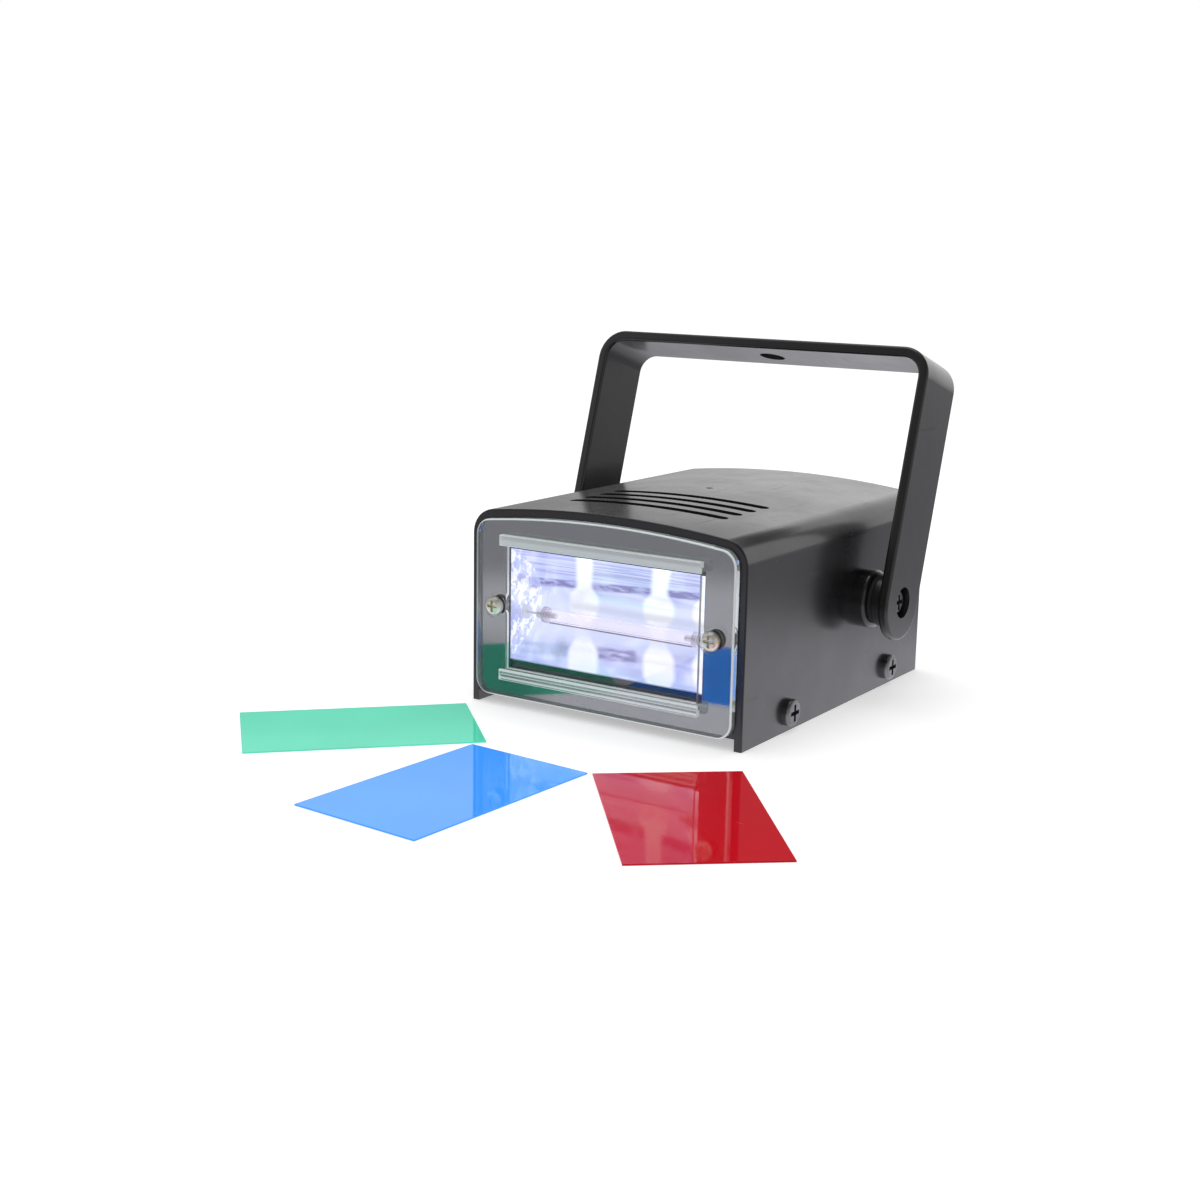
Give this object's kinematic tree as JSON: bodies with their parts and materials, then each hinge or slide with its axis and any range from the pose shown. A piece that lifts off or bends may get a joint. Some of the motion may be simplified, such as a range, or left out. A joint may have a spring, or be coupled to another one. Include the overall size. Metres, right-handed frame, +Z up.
{
  "type": "xenon stroboscope",
  "caption": "Hand-sized xenon stroboscope: arched black case, clear front with filter rails over a flash tube, tilting strap bracket and loose colour filters.",
  "frame": {"origin": "centre of the base tray's underside, on the surface that the stroboscope stands on", "axes": "+Y to the rear, along the case, +Z up, +X to the right as seen from the front"},
  "size_m": [0.1979, 0.2488, 0.1127],
  "materials": {
    "black_cover": "moulded ABS, satin, fine grain",
    "black_tray": "moulded ABS, matt",
    "bracket_black": "moulded nylon, satin",
    "clear_panel": "clear acrylic, polished",
    "mirror_sheet": "dark tinted mirror film",
    "gloss_black": "moulded, gloss",
    "bright_reflector": "polished and lacquered",
    "tube_glass": "clear flash tube glass",
    "electrode": "sintered tip and nickel pin",
    "trigger_metal": "nickel wire",
    "silicone": "white silicone",
    "red_lead": "silicone insulation",
    "black_lead": "silicone insulation",
    "white_lead": "silicone insulation",
    "board": "glass fibre board with green resist",
    "capacitor_sleeve": "shrink sleeve",
    "film_case": "dipped film capacitor",
    "resistor_ceramic": "cement body",
    "coil_tape": "wound coil under tape",
    "device_body": "moulded epoxy",
    "fuse_glass": "glass with plated caps",
    "spring_brass": "plated",
    "terminal_green": "moulded nylon",
    "zinc": "zinc plated",
    "yellow_zinc": "yellow zinc plated",
    "black_zinc": "black plated",
    "shaft_aluminium": "turned",
    "knob_plastic": "moulded, satin",
    "gland_nylon": "nylon",
    "rubber_black": "matt",
    "green_film": "dyed clear film",
    "blue_film": "dyed clear film",
    "red_film": "dyed clear film"
  },
  "bodies": {
    "case": {"casing_cover": "black_cover", "base_tray": "black_tray", "rear_panel": "black_tray", "front_panel": "clear_panel", "face_plate": "mirror_sheet", "reflector_frame": "gloss_black", "reflector": "bright_reflector", "flash_tube": "tube_glass", "tube_anode": "electrode", "tube_cathode": "electrode", "tube_grommets": "silicone", "trigger_wire": "trigger_metal", "anode_lead": "red_lead", "cathode_lead": "black_lead", "trigger_lead": "white_lead", "circuit_board": "board", "flash_capacitor_left": "capacitor_sleeve", "flash_capacitor_right": "capacitor_sleeve", "film_capacitors": "film_case", "power_resistor": "resistor_ceramic", "trigger_coil": "coil_tape", "trigger_capacitor": "film_case", "thyristor": "device_body", "rectifier_diodes": "device_body", "fuse": "fuse_glass", "fuse_clips": "spring_brass", "terminal_block": "terminal_green", "terminal_screws": "zinc", "potentiometer": "device_body", "potentiometer_nut": "zinc", "potentiometer_washer": "zinc", "cable_gland": "gland_nylon", "friction_washers": "rubber_black", "pivot_screws": "black_zinc", "pivot_nuts": "zinc", "pivot_washers": "zinc", "panel_screws": "yellow_zinc", "rear_screws": "black_zinc", "side_screws": "black_zinc", "board_screws": "zinc"},
    "bracket": {"bracket": "bracket_black"},
    "speed_knob": {"speed_knob": "knob_plastic", "potentiometer_shaft": "shaft_aluminium"},
    "filter_green": {"filter_green": "green_film"},
    "filter_blue": {"filter_blue": "blue_film"},
    "filter_red": {"filter_red": "red_film"}
  },
  "joints": [
    {"name": "bracket_tilt", "type": "hinge", "parent": "case", "child": "bracket", "pos_m": [0, 0.0175, 0.0328], "axis": [-1, 0, 0], "range_deg": [-73.5, 87.5]},
    {"name": "speed_turn", "type": "hinge", "parent": "case", "child": "speed_knob", "pos_m": [-0.022, 0.062, 0.0225], "axis": [0, -1, 0], "range_deg": [-150, 150]},
    {"name": "green_filter_lift", "type": "slide", "parent": "case", "child": "filter_green", "axis": [0, 0, 1], "range_m": [0, 0.05]},
    {"name": "blue_filter_lift", "type": "slide", "parent": "case", "child": "filter_blue", "axis": [0, 0, 1], "range_m": [0, 0.05]},
    {"name": "red_filter_lift", "type": "slide", "parent": "case", "child": "filter_red", "axis": [0, 0, 1], "range_m": [0, 0.05]}
  ]
}
